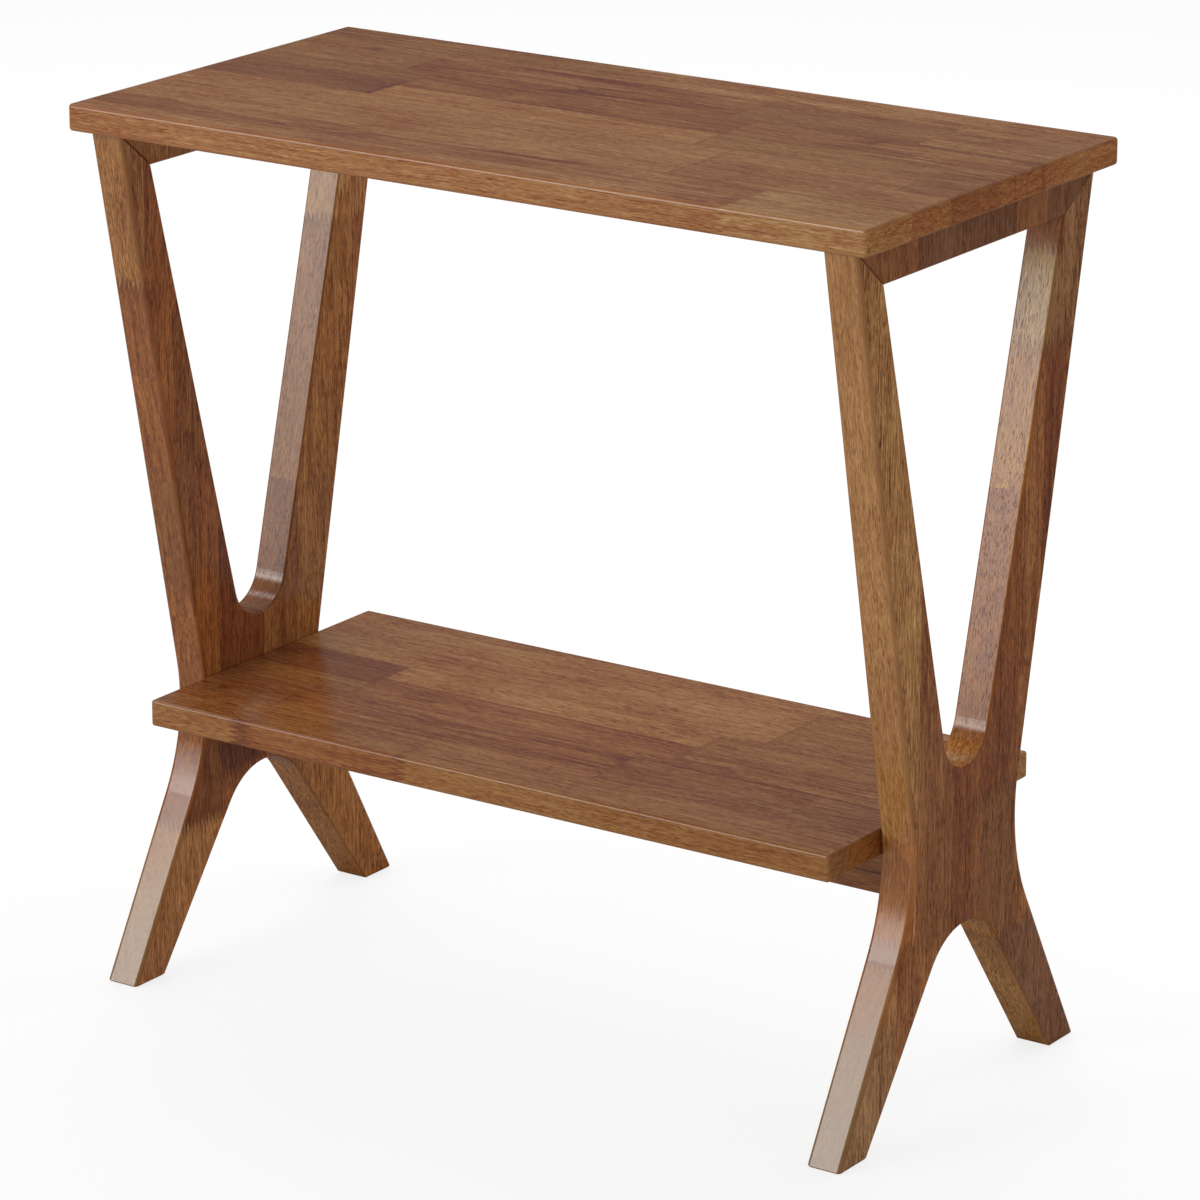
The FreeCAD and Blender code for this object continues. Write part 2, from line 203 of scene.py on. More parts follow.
# %% Grey for the wood, dark for the lacquer
room = bpy.data.worlds.new("room")
scene.world = room
room.use_nodes = True
tree = room.node_tree
tree.nodes.clear()
seen_by = put(tree, "ShaderNodeLightPath")
way_out = put(tree, "ShaderNodeTexCoord").outputs["Generated"]
dim_side = (0.28, -0.27, 0.40)
for_wood = calc(tree, "SUBTRACT", 1.08, vector_calc(tree, "DOT_PRODUCT", way_out, dim_side))
above_horizon = calc(tree, "MAXIMUM", split(tree, way_out)["Z"], 0.0)
for_lacquer = calc(tree, "MULTIPLY_ADD", above_horizon, 0.55, 0.04)
step_to_dark = calc(tree, "MULTIPLY", seen_by.outputs["Is Glossy Ray"],
                    calc(tree, "SUBTRACT", for_lacquer, for_wood))
table_sees = calc(tree, "ADD", for_wood, step_to_dark)
print("the table's room is ready")

# %% White for the camera and through glass
def plain_world(tree, strength):
    node = put(tree, "ShaderNodeBackground")
    node.inputs["Color"].default_value = white
    feed(tree, node.inputs["Strength"], strength)
    return node.outputs[0]


sees_white = calc(tree, "MAXIMUM", seen_by.outputs["Is Camera Ray"],
                  seen_by.outputs["Is Transmission Ray"])
either_room = mix_shaders(tree, sees_white, plain_world(tree, table_sees),
                          plain_world(tree, 1.0))
feed(tree, put(tree, "ShaderNodeOutputWorld").inputs["Surface"], either_room)
scene.view_settings.view_transform = "Standard"
print("room ready with", len(tree.nodes), "nodes")

# %% [markdown]
# ## The floor
#
# The floor is a large matt disc that takes the table's soft shadow. To the camera most of
# it glows plain white, so that the table stands in a pale picture and only a faint shadow
# is left. The lacquer sees a grey floor instead, darker behind the table than in front.

# %% The floor's shape
floor_shape = bmesh.new()
bmesh.ops.create_circle(floor_shape, cap_ends=True, segments=96, radius=16)
floor_mesh = bpy.data.meshes.new("floor")
floor_shape.to_mesh(floor_mesh)
floor_shape.free()
floor = bpy.data.objects.new("floor", floor_mesh)
scene.collection.objects.link(floor)
floor.location.z = -0.0005    # just below the feet, so that the two don't fight
print("floor faces:", len(floor_mesh.polygons))

# %% The floor's paint
def new_material(name):
    """A material whose node tree is still empty, and that tree."""
    material = bpy.data.materials.new(name)
    material.use_nodes = True
    material.node_tree.nodes.clear()
    return material, material.node_tree


floor_paint, tree = new_material("white_floor")
floor_white, glow_share = 0.8, 0.8
seen_by = put(tree, "ShaderNodeLightPath")
floor_place = split(tree, put(tree, "ShaderNodeTexCoord").outputs["Object"])
in_lacquer = soft_step(tree, floor_place["Y"], -0.4, 0.2, 0.45, 0.12)
matt = put(tree, "ShaderNodeBsdfDiffuse")
feed(tree, matt.inputs["Color"],
     calc(tree, "MULTIPLY_ADD", seen_by.outputs["Is Glossy Ray"],
          calc(tree, "SUBTRACT", in_lacquer, floor_white), floor_white))
glow = put(tree, "ShaderNodeEmission")
glow.inputs["Color"].default_value = white
pale = mix_shaders(tree, calc(tree, "MULTIPLY", seen_by.outputs["Is Camera Ray"], glow_share),
                   matt.outputs[0], glow.outputs[0])
feed(tree, put(tree, "ShaderNodeOutputMaterial").inputs["Surface"], pale)
floor_mesh.materials.append(floor_paint)
print("floor painted with", len(tree.nodes), "nodes")

# %% [markdown]
# ## What the wood is made of
#
# Each board is glued up from staves, narrow strips a hand or two long that are joined end
# to end with finger joints. Every stave comes from another tree, so neighbours differ in
# tone, and the grain stops at each joint. A picture of wood would repeat and stretch, so
# we compute the wood instead. Every point of a board gets three numbers in millimetres:
# how far it is across the grain, how deep, and how far along the grain. All patterns are
# solid ones that use these three, so the grain runs on over the edges and turns into end
# grain by itself where the board is cut across.
#
# The groups below give out only colours and values. The first one bends the distance along
# the grain into a zigzag, so that a stave that starts at a straight line starts with the
# teeth of a finger joint instead.

# %% Make and use a node group
def new_group(name, inputs, outputs):
    """A node group. Inputs and outputs are name: value, a colour where it has 4 numbers."""
    group = bpy.data.node_groups.new(name, "ShaderNodeTree")
    for way, sockets in (("INPUT", inputs), ("OUTPUT", outputs)):
        for title, value in sockets.items():
            kind = "NodeSocketColor" if isinstance(value, tuple) else "NodeSocketFloat"
            socket = group.interface.new_socket(title, in_out=way, socket_type=kind)
            if way == "INPUT":
                socket.default_value = value
    start = put(group, "NodeGroupInput")
    end = put(group, "NodeGroupOutput")
    return group, start.outputs, end.inputs


def use_group(tree, group, **values):
    """Places a group. An underscore in a keyword stands for a space in the socket's name."""
    node = put(tree, "ShaderNodeGroup", node_tree=group)
    for title, value in values.items():
        feed(tree, node.inputs[title.replace("_", " ")], value)
    return node.outputs


print("ready to make node groups")

# %% Finger joint teeth
finger_joint, given, result = new_group(
    "finger_joint",
    {"Along": 0.0, "Sideways": 0.0, "Pitch": 3.8, "Length": 9.0},
    {"Along": 0.0})
tree = finger_joint
half_pitch = calc(tree, "MULTIPLY", given["Pitch"], 0.5)
tooth = calc(tree, "PINGPONG", given["Sideways"], half_pitch)
tooth = calc(tree, "SUBTRACT", calc(tree, "DIVIDE", tooth, half_pitch), 0.5)
feed(tree, result["Along"], calc(tree, "MULTIPLY_ADD", tooth, given["Length"], given["Along"]))
print(finger_joint.name, "ready")

# %% [markdown]
# The next group lays one stave over the wood that is there already. It says whether a
# point lies inside a rectangle of the board, and there hands on the stave's own tone, the
# strength of its dark streaks and a seed that shifts its figure. It also darkens the two
# ends of the stave, where the cut fibres drink more stain. Staves are chained, so the last
# one laid lies on top.

# %% Where a stave lies
stave, given, result = new_group(
    "stave",
    {"Along": 0.0, "Across": 0.0, "From": 0.0, "To": 1.0, "Low": 0.0, "High": 1.0,
     "Tone below": white, "Streaks below": 0.0, "Seed below": 0.0, "Joint below": 0.0,
     "Tone": white, "Streaks": 0.0, "Seed": 0.0, "Joint": 0.5, "Joint width": 3.5},
    {"Tone": white, "Streaks": 0.0, "Seed": 0.0, "Joint": 0.0})
tree = stave


def between(tree, value, low, high):
    return calc(tree, "MULTIPLY", calc(tree, "GREATER_THAN", value, low),
                calc(tree, "LESS_THAN", value, high))


def inside_or_below(tree, own, below):
    """A stave's own value inside it, and elsewhere the value of what lies below."""
    return calc(tree, "MULTIPLY_ADD", calc(tree, "SUBTRACT", own, below), inside, below)


inside = calc(tree, "MULTIPLY",
              between(tree, given["Along"], given["From"], given["To"]),
              between(tree, given["Across"], given["Low"], given["High"]))
feed(tree, result["Tone"], blend(tree, inside, given["Tone below"], given["Tone"]))
for title in ("Streaks", "Seed"):
    feed(tree, result[title], inside_or_below(tree, given[title], given[title + " below"]))
print(stave.name, "has its place")

# %% The dark ends of a stave
to_end, to_start = (calc(tree, "ABSOLUTE", calc(tree, "SUBTRACT", given["Along"], given[end]))
                    for end in ("To", "From"))
to_joint = calc(tree, "MINIMUM", to_start, to_end)
joint = calc(tree, "SUBTRACT", 1.0, calc(tree, "DIVIDE", to_joint, given["Joint width"]))
joint = calc(tree, "MULTIPLY", calc(tree, "MAXIMUM", joint, 0.0), given["Joint"])
feed(tree, result["Joint"], inside_or_below(tree, joint, given["Joint below"]))
print(stave.name, "ready")

# %% [markdown]
# Some marks belong to one place: a strong growth line, a glue line, a mitre, a knot. They
# are all drawn by the same group, a soft line that runs from one point of the board to
# another. A wide and short one is a knot. Waves says how far the line follows the sway of
# the grain, and a glue line doesn't follow it at all.

# %% One dark line
dark_line, given, result = new_group(
    "dark_line",
    {"Along": 0.0, "Across": 0.0, "Sway": 0.0, "Start": 0.0, "Stop": 1.0, "At start": 0.0,
     "At stop": 0.0, "Width": 1.0, "Strength": 1.0, "Waves": 1.0, "Fade": 10.0, "Below": 0.0},
    {"Lines": 0.0})
tree = dark_line
gone = calc(tree, "SUBTRACT", given["Along"], given["Start"])
left = calc(tree, "SUBTRACT", given["Stop"], given["Along"])
share = calc(tree, "DIVIDE", gone, calc(tree, "ADD", gone, left))
middle = calc(tree, "MULTIPLY_ADD",
              calc(tree, "SUBTRACT", given["At stop"], given["At start"]), share,
              given["At start"])
here = calc(tree, "MULTIPLY_ADD", given["Sway"], given["Waves"], given["Across"])
aside = calc(tree, "ABSOLUTE", calc(tree, "SUBTRACT", here, middle))
core = calc(tree, "SUBTRACT", 1.0, calc(tree, "DIVIDE", aside, given["Width"]))
core = calc(tree, "MULTIPLY", calc(tree, "MAXIMUM", core, 0.0), 1.6)    # a flat middle
core = calc(tree, "MINIMUM", core, 1.0)
ends = calc(tree, "DIVIDE", calc(tree, "MINIMUM", gone, left), given["Fade"])
ends = calc(tree, "MINIMUM", calc(tree, "MAXIMUM", ends, 0.0), 1.0)
mark = calc(tree, "MULTIPLY", calc(tree, "MULTIPLY", core, ends), given["Strength"])
feed(tree, result["Lines"], calc(tree, "MAXIMUM", mark, given["Below"]))
print(dark_line.name, "ready")

# %% [markdown]
# ## The figure of the wood
#
# The last and largest group draws the wood itself. All of it rides on two sets of
# coordinates. Both are shifted by the stave's seed, so that each stave shows its own piece
# of the pattern, and both sway a little, as no tree grows straight. The fine set also has
# its own distance across the grain, which a board can stretch.

# %% Noise in grain millimetres
wood_figure, given, result = new_group(
    "wood_figure",
    {"Across": 0.0, "Depth": 0.0, "Along": 0.0, "Seed": 0.0, "Tone": white, "Streaks": 0.3,
     "Pores": 0.5, "Figure": 1.0, "Threads": 0.25, "Bands": 0.2, "Lines": 0.0,
     "Edges": 0.0, "End grain": 0.0, "End tone": white, "Fine across": 0.0,
     "Swing": white, "Dark tone": white},
    {"Color": white, "Height": 0.0, "Roughness": 0.0})
tree = wood_figure


def noise(tree, place, scale, detail=2.0, roughness=0.5, output=0):
    """Noise at a point in grain millimetres. Scale is across, deep and along the grain."""
    node = put(tree, "ShaderNodeTexNoise")
    feed(tree, node.inputs["Vector"], vector_calc(tree, "MULTIPLY", place, scale))
    node.inputs["Scale"].default_value = 1.0
    node.inputs["Detail"].default_value = detail
    node.inputs["Roughness"].default_value = roughness
    return node.outputs[output]


def around_zero(tree, value, amount=1.0):
    """Turns noise, which is near 0.5, into a value from about -amount to amount."""
    return calc(tree, "MULTIPLY", calc(tree, "SUBTRACT", value, 0.5), 2 * amount)


# %% Each stave has its own piece of the pattern
seed_step = (17.3, 9.1, 61.7)    # from one seed's piece of the pattern to the next, in mm
sway_reach = (9, 9, 0)
shifted, fine = (vector_calc(tree, "MULTIPLY_ADD", given["Seed"], seed_step,
                             join(tree, given[across], given["Depth"], given["Along"]))
                 for across in ("Across", "Fine across"))
sway = noise(tree, shifted, (0.014, 0.014, 0.007), output=1)
sway = vector_calc(tree, "MULTIPLY",
                   vector_calc(tree, "SUBTRACT", sway, (0.5, 0.5, 0.5)), sway_reach)
bent = vector_calc(tree, "ADD", shifted, sway)
fine = vector_calc(tree, "ADD", fine, sway)
print("the grain sways up to", max(sway_reach) / 2, "mm")

# %% [markdown]
# Growth rings are circles round a pith line that lies somewhere outside the stave, so on a
# face they show as long streaks, wider apart where the face lies over the pith, and on an
# end as arcs. The seed decides where the pith lies and how it slopes: a sine or a fraction
# of it jumps about enough to look like chance, and is the same each time. A ring starts
# pale and gets dark toward its end, and a power makes that dark end narrow.

# %% Growth rings
def by_seed(tree, factor, amount):
    """A value from -amount to amount that differs from stave to stave."""
    wave = calc(tree, "SINE", calc(tree, "MULTIPLY", given["Seed"], factor))
    return calc(tree, "MULTIPLY", wave, amount)


ring_width = 6.5
pith_across = calc(tree, "MULTIPLY_ADD", given["Along"], by_seed(tree, 5.1, 0.018),
                   by_seed(tree, 12.9, 120.0))
pith_depth = calc(tree, "MULTIPLY_ADD",
                  calc(tree, "FRACT", calc(tree, "MULTIPLY", given["Seed"], 0.618)), 30.0, 28.0)
swayed = split(tree, sway)
from_pith = join(tree,
                 calc(tree, "SUBTRACT", calc(tree, "ADD", given["Across"], swayed["X"]),
                      pith_across),
                 calc(tree, "ADD", calc(tree, "ADD", given["Depth"], swayed["Y"]), pith_depth))
uneven = around_zero(tree, noise(tree, shifted, (0.035, 0.035, 0.008), 1.0), 9.0)
ring = calc(tree, "ADD", vector_calc(tree, "LENGTH", from_pith), uneven)
ring = calc(tree, "DIVIDE", ring, ring_width)
ring_line = calc(tree, "POWER", calc(tree, "FRACT", ring), 2.6)
print("rings", ring_width, "mm apart")

# %% [markdown]
# The rest of the figure goes from large to small. Cloudy patches make a stave lighter here
# and darker there. Bands, threads, fibres and specks are noise that is stretched along the
# grain, each finer than the one before. Pores are short dark dashes, made from stretched
# cells, and the stain gathers in them.

# %% Patches, bands, threads, fibres and specks
patches = around_zero(tree, noise(tree, bent, (0.026, 0.026, 0.009)))
bands = around_zero(tree, noise(tree, bent, (0.14, 0.14, 0.007)))
threads = around_zero(tree, noise(tree, fine, (0.36, 0.36, 0.009), 2.0, 0.6))
fibres = around_zero(tree, noise(tree, fine, (0.85, 0.85, 0.03), 3.0, 0.65))
specks = around_zero(tree, noise(tree, fine, (2.2, 2.2, 0.14), 2.0, 0.6))
print("patterns from 40 mm down to 0.3 mm")

# %% Pores
pore_scale = (1.15, 1.15, 0.125)
cells = put(tree, "ShaderNodeTexVoronoi", feature="F1")
cells.inputs["Scale"].default_value = 1.0
feed(tree, cells.inputs["Vector"], vector_calc(tree, "MULTIPLY", fine, pore_scale))
pore = soft_step(tree, cells.outputs["Distance"], 0.16, 0.36, 1.0, 0.0)
pore_field = soft_step(tree, noise(tree, fine, (0.11, 0.11, 0.012), 1.0), 0.36, 0.56, 0.55, 1.0)
pores = calc(tree, "MULTIPLY", calc(tree, "MULTIPLY", pore, pore_field), given["Pores"])
print("a pore in about every", 1 / pore_scale[2], "mm along the grain")

# %% [markdown]
# Where stained wood gets darker it also gets redder. So the light and dark of the figure
# isn't a grey: the swing moves red a little, green more and blue most. A streaky stave is
# lively in its bands and threads too, so these two follow the strength of its streaks.
#
# Rings, lines, pores and the sanded edges lay their darker stain on top. End grain shows
# the rings faintly and has a tone of its own.

# %% The light and dark of the figure
lively = calc(tree, "ADD", given["Streaks"], 0.35)
thread_amount = calc(tree, "MULTIPLY", given["Threads"], lively)
band_amount = calc(tree, "MULTIPLY", given["Bands"], lively)
change = calc(tree, "MULTIPLY", fibres, 0.95)
for pattern, amount in ((threads, thread_amount), (bands, band_amount),
                        (specks, 1.25), (patches, 0.38)):
    change = calc(tree, "MULTIPLY_ADD", pattern, amount, change)
change = calc(tree, "MULTIPLY", change, given["Figure"])
tint = vector_calc(tree, "MULTIPLY_ADD", change, given["Swing"], (1.045, 1.06, 1.08))
tint = vector_calc(tree, "MAXIMUM", tint, (0.12, 0.10, 0.08))    # never quite black
color = vector_calc(tree, "MULTIPLY", given["Tone"], tint)
print("figure ready")

# %% Streaks, pores, edges and ends
streak_field = soft_step(tree, noise(tree, shifted, (0.05, 0.05, 0.004), 1.0),
                         0.32, 0.62, 0.25, 1.0)
streak = calc(tree, "MULTIPLY", calc(tree, "MULTIPLY", ring_line, given["Streaks"]),
              streak_field)
end_rings = calc(tree, "MULTIPLY", calc(tree, "MULTIPLY", ring_line, 0.45), given["End grain"])
streak = calc(tree, "MAXIMUM", streak, end_rings)
streak = calc(tree, "MINIMUM", calc(tree, "MAXIMUM", streak, given["Lines"]), 1.0)
edge_tone = (0.80, 0.62, 0.50, 1)
for mask, stain in ((streak, given["Dark tone"]), (pores, given["Dark tone"]),
                    (given["Edges"], edge_tone)):
    color = blend(tree, mask, color, stain, "MULTIPLY")
end_color = vector_calc(tree, "MULTIPLY", color, given["End tone"])
feed(tree, result["Color"], blend(tree, given["End grain"], color, end_color))
print("stain ready")

# %% Height and roughness: the lacquer sinks a little into pores and streaks
height = calc(tree, "MULTIPLY_ADD", fibres, 0.35, 0.5)
height = calc(tree, "MULTIPLY_ADD", pores, -0.6, height)
height = calc(tree, "MULTIPLY_ADD", streak, -0.15, height)
feed(tree, result["Height"], height)
roughness = calc(tree, "MULTIPLY_ADD", fibres, 0.06, 0.20)
feed(tree, result["Roughness"], calc(tree, "MULTIPLY_ADD", pores, 0.12, roughness))
print(wood_figure.name, "ready with", len(tree.nodes), "nodes")

# %% [markdown]
# ## Tones
#
# These are the stained tones of the staves. A stain takes unevenly, so two staves of one
# board can differ as much as two kinds of wood do. They are written as screen values from
# 0 to 255, and a shader wants linear light, so we convert them.

# %% Tones
def paint(red, green, blue):
    def linear(value):
        value /= 255
        return value / 12.92 if value <= 0.04045 else ((value + 0.055) / 1.055) ** 2.4
    return (linear(red), linear(green), linear(blue), 1.0)


tones = {
    "sand": paint(150, 104, 57),
    "straw": paint(151, 99, 51),
    "fawn": paint(147, 96, 50),
    "honey": paint(142, 92, 47),
    "tan": paint(135, 85, 39),
    "olive": paint(139, 87, 42),
    "nut": paint(132, 80, 38),
    "streaked": paint(136, 81, 36),
    "russet": paint(132, 75, 32),
    "amber": paint(129, 78, 32),
    "red": paint(119, 65, 27),
    "wine": paint(112, 59, 26),
    "umber": paint(125, 75, 36),
    "hazel": paint(130, 88, 50),
    "flax": paint(139, 97, 57),
    # painted light: a redder, lighter tone for the front of the right front leg's waist, where
    # the shelf shades it
    "waist_painted_light": paint(154, 95, 45),
    "bark": paint(113, 67, 30),
    "brick": paint(121, 70, 31),
    "rail": paint(110, 68, 40),
    "fork": paint(156, 108, 58),
    # painted sheen and shade: the greyer, darker tone toward the floor on the fronts of the
    # feet
    "foot": paint(122, 92, 54),
    "glue": paint(98, 38, 16),
    "beech": paint(196, 158, 112),
}
print(len(tones), "tones")

# %% [markdown]
# ## From staves to a board
#
# A board's material reads the point's place on the object, turns metres into millimetres,
# and knows which axis runs along the grain. Then it lays the staves in order and draws the
# single lines over them.
#
# A stave is written as (from, to) along the grain, (low, high) across it, its tone and its
# streaks, and after them the strength and the length of its dark ends where they are
# special. A line is (start, stop) along the grain, its two places across there, width,
# strength, waves and fade.

# %% Which axis the grain runs along
Grain = namedtuple("Grain", "along across depth")
lengthwise = Grain("X", "Y", "Z")    # the top and the shelf
upright = Grain("Z", "Y", "X")       # the frames
on_edge = Grain("X", "Z", "Y")       # the stretcher
print("grain:", lengthwise, upright, on_edge)

# %% Lay the staves
def lay_staves(tree, axis, grain, base, staves, seed, dark_ends):
    """The tone, streaks, seed and end stain of each point. base is (tone, streaks)."""
    # the teeth of a finger joint show on a board's edges, and on every side of a leg
    sideways = axis[grain.depth]
    if grain == upright:
        sideways = calc(tree, "ADD", axis[grain.across], axis[grain.depth])
    jagged = use_group(tree, finger_joint, Along=axis[grain.along], Sideways=sideways)["Along"]
    (base_tone, streaks), own_seed, joint = base, seed, 0.0
    tone = tones[base_tone]
    for number, laid_stave in enumerate(staves, 1):
        (start, stop), (low, high), stave_tone, stave_streaks, *special = laid_stave
        joint_strength, joint_width = special or dark_ends
        laid = use_group(tree, stave, Along=jagged, Across=axis[grain.across],
                         From=start, To=stop, Low=low, High=high,
                         Tone_below=tone, Streaks_below=streaks, Seed_below=own_seed,
                         Joint_below=joint, Tone=tones[stave_tone], Streaks=stave_streaks,
                         Seed=seed + number, Joint=joint_strength, Joint_width=joint_width)
        tone, streaks, own_seed = laid["Tone"], laid["Streaks"], laid["Seed"]
        joint = laid["Joint"]
    return tone, streaks, own_seed, joint


print("ready to lay staves")

# %% Draw the lines
def draw_lines(tree, millimetres, axis, grain, lines, drawn):
    """The strength of dark marks at each point, over those that are drawn already."""
    sway_scale = tuple(0.013 if letter == grain.along else 0.03 for letter in "XYZ")
    line_sway = around_zero(tree, noise(tree, millimetres, sway_scale, 1.0), 6.0)
    for (start, stop), (at_start, at_stop), width, strength, waves, fade in lines:
        drawn = use_group(tree, dark_line, Along=axis[grain.along],
                          Across=axis[grain.across], Sway=line_sway, Start=start, Stop=stop,
                          At_start=at_start, At_stop=at_stop, Width=width,
                          Strength=strength, Waves=waves, Fade=fade, Below=drawn)["Lines"]
    return drawn


print("ready to draw lines")

# %% [markdown]
# Edges are sanded round before staining, and the stain goes deeper there. The mask for it
# needs no distances: on a face the surface looks straight along the board's depth or
# straight across it, and only on a rounded edge does it look somewhere between. End grain
# is found in the same way. It is wherever the surface looks along the grain: on the sawn
# ends of a board, and in the bottom of a frame's fork.
#
# The front faces of the feet lean back and mirror the bright window as a milky sheen. Their
# colour is painted to go with it: a calmer figure, fewer pores and lines, and a greyer,
# darker tone toward the floor, which is painted sheen and painted shade. Their mask wants a
# face that looks forward and up, near the floor.

# %% Masks from the way a surface looks
def facing(tree, looks, grain, edge_stain=0.3):
    """Masks of the wide faces, the rounded edges and the end grain."""
    wide = calc(tree, "POWER", calc(tree, "ABSOLUTE", looks[grain.depth]), 2.0)
    turning = calc(tree, "MULTIPLY", wide, calc(tree, "SUBTRACT", 1.0, wide))
    edges = calc(tree, "MULTIPLY", turning, 4.0 * edge_stain)
    end_grain = soft_step(tree, calc(tree, "ABSOLUTE", looks[grain.along]), 0.45, 0.85)
    return wide, edges, end_grain


def foot_fronts(tree, axis, looks):
    """Masks of the fronts of the feet, where sheen is painted, and of the painted sheen and
    shade toward the floor on them.
    """
    leans_back = soft_step(tree, looks["Z"], 0.24, 0.42)
    looks_forward = soft_step(tree, looks["Y"], -0.4, 0.0, 1.0, 0.0)
    below_waist = soft_step(tree, axis["Z"], 150, 185, 1.0, 0.0)
    front = calc(tree, "MULTIPLY", calc(tree, "MULTIPLY", leans_back, looks_forward),
                 below_waist)
    return front, calc(tree, "MULTIPLY", front, soft_step(tree, axis["Z"], 20, 118, 0.85, 0.0))


def lessened(tree, mask, share):
    """1 outside the mask, and less by a share inside it."""
    return calc(tree, "MULTIPLY_ADD", mask, -share, 1.0)


print("ready to mask wide faces, edges, end grain and the fronts of the feet")

# %% [markdown]
# The shader itself stays in the material: a Principled BSDF with a fairly low roughness
# for the satin lacquer, and a very small bump from the fibres and pores.

# %% The satin lacquer
def lacquer(tree, wood):
    bump = put(tree, "ShaderNodeBump")
    bump.inputs["Strength"].default_value = 0.12
    bump.inputs["Distance"].default_value = 0.0004
    feed(tree, bump.inputs["Height"], wood["Height"])
    shader = put(tree, "ShaderNodeBsdfPrincipled")
    feed(tree, shader.inputs["Base Color"], wood["Color"])
    feed(tree, shader.inputs["Roughness"], wood["Roughness"])
    feed(tree, shader.inputs["Normal"], bump.outputs[0])
    shader.inputs["IOR"].default_value = 1.5
    feed(tree, put(tree, "ShaderNodeOutputMaterial").inputs["Surface"], shader.outputs[0])


print("ready to spray the lacquer")

# %% [markdown]
# Now the steps come together. Narrow faces often differ from the wide ones: they are cut
# from another side of the tree and sanded with another machine. So a board has its own
# amounts of figure, threads and bands there, and a tint of its own, which is partly that
# tone and partly painted light and shade: it lifts narrow faces that the lamps leave too
# dark, such as the fork and arch of the right rear leg, and darkens others, such as the
# shaded ends of the shelf. On a narrow face that leans across the grain the fibres look
# longer, so there the fine pattern is stretched.

# %% A stave-wood material
def stave_wood(name, grain, base, staves, lines=(), seed=0.0, pores=0.5, figure=1.0,
               calm=1.0, threads=(0.08, 0.38), bands=(0.08, 0.28), shade=1.0,
               narrow_tone_and_light=(1, 1, 1), end_tone=(1.08, 1.02, 1.02, 1), fork=None,
               dark_ends=(0.55, 4.0), swing=(0.86, 1.28, 1.85, 1),
               dark_tone=(0.43, 0.24, 0.10, 1)):
    """base is the (tone, streaks) under the staves, and its seed comes before theirs. pores
    and figure are strengths, and calm is the share of the figure that is left on the narrow
    faces. threads and bands are amounts on the narrow and on the wide faces. shade darkens
    all of the board, and end_tone tints its end grain. narrow_tone_and_light tints its narrow
    faces, partly with their own tone and partly with painted light and shade. fork is the
    tone of faces that look up, against the grain. dark_ends is the strength and length of
    the staves' dark ends. swing is how far red, green and blue move where the wood gets
    lighter or darker, and dark_tone what the streaks, lines and pores leave of them."""
    material, tree = new_material(name)
    place = put(tree, "ShaderNodeTexCoord").outputs["Object"]
    millimetres = vector_calc(tree, "MULTIPLY", place, (1000, 1000, 1000))
    axis = split(tree, millimetres)
    tone, streaks, own_seed, joint = lay_staves(tree, axis, grain, base, staves, seed,
                                                dark_ends)
    drawn = draw_lines(tree, millimetres, axis, grain, lines, joint)
    looks = split(tree, put(tree, "ShaderNodeNewGeometry").outputs["Normal"])
    wide, edges, end_grain = facing(tree, looks, grain)

    def narrow_to_wide(on_narrow, on_wide):
        return calc(tree, "MULTIPLY_ADD", wide, on_wide - on_narrow, on_narrow)

    figure = narrow_to_wide(calm * figure, figure)
    # The narrow faces get their own tint: partly their own tone, partly painted light and
    # shade.
    tone_and_painted_light = blend(tree, wide, (*(shade * share for share in narrow_tone_and_light), 1),
                       (shade, shade, shade, 1))
    tone = blend(tree, 1.0, tone, tone_and_painted_light, "MULTIPLY")
    # On the fronts of the feet the weaker figure, pores and lines and the greyer, darker tone
    # toward the floor are painted sheen and painted shade.
    if grain == upright:
        front, pale = foot_fronts(tree, axis, looks)
        figure = calc(tree, "MULTIPLY", figure, lessened(tree, front, 0.55))
        pores = calc(tree, "MULTIPLY", lessened(tree, front, 0.70), pores)
        drawn = calc(tree, "MULTIPLY", drawn, lessened(tree, front, 0.8))
        tone = blend(tree, pale, tone, tones["foot"])
    if fork:
        tone = blend(tree, soft_step(tree, looks["Z"], 0.55, 0.90), tone, tones[fork])

    wood = use_group(tree, wood_figure, Across=axis[grain.across], Depth=axis[grain.depth],
                     Along=axis[grain.along], Seed=own_seed, Tone=tone, Streaks=streaks,
                     Fine_across=calc(tree, "MULTIPLY", axis[grain.across],
                                      narrow_to_wide(0.25, 1.0)),
                     Pores=pores, Figure=figure, Lines=drawn, Edges=edges,
                     End_grain=end_grain, End_tone=end_tone, Swing=swing,
                     Dark_tone=dark_tone, Threads=narrow_to_wide(*threads),
                     Bands=narrow_to_wide(*bands))
    lacquer(tree, wood)
    print(name, "has", len(staves), "staves and", len(lines), "lines")
    return material


print("ready to make stave wood")

# %% [markdown]
# ## The top
#
# The top's staves run from left to right. The list goes from the back edge to the front
# edge, with each stave's place along the board, its place across, its tone, and how
# strong its streaks are.

# %% Staves of the top, in millimetres
END = 900.0    # beyond the end of any board

top_staves = [
    ((-END, END), (112, 160), "amber", 0.65),
    ((-60, END), (112, 160), "fawn", 0.65),
    ((-END, -188), (54, 112), "tan", 0.2),
    ((-188, 66), (54, 110), "streaked", 0.9, 0.28, 18.0),
    ((66, END), (54, 112), "nut", 0.3),
    ((205, END), (60, 114), "honey", 0.4),
    ((-END, -162), (30, 54), "amber", 0.25),
    ((-162, 90), (15, 54), "streaked", 0.4),
    ((90, END), (18, 54), "olive", 0.7),
    ((-END, -162), (-16, 30), "red", 0.35, 0.6, 7.0),
    ((-162, 90), (-18, 15), "straw", 0.25),
    ((90, END), (-18, 18), "tan", 0.3),
    ((120, END), (-99, -18), "honey", 0.15),
    ((258, END), (-54, 2), "nut", 0.5),
    ((-END, 196), (-132, -99), "olive", 0.75),
    ((196, END), (-160, -99), "sand", 0.25),
    ((-END, 196), (-160, -132), "fawn", 0.45),
]
print(len(top_staves), "staves in the top")

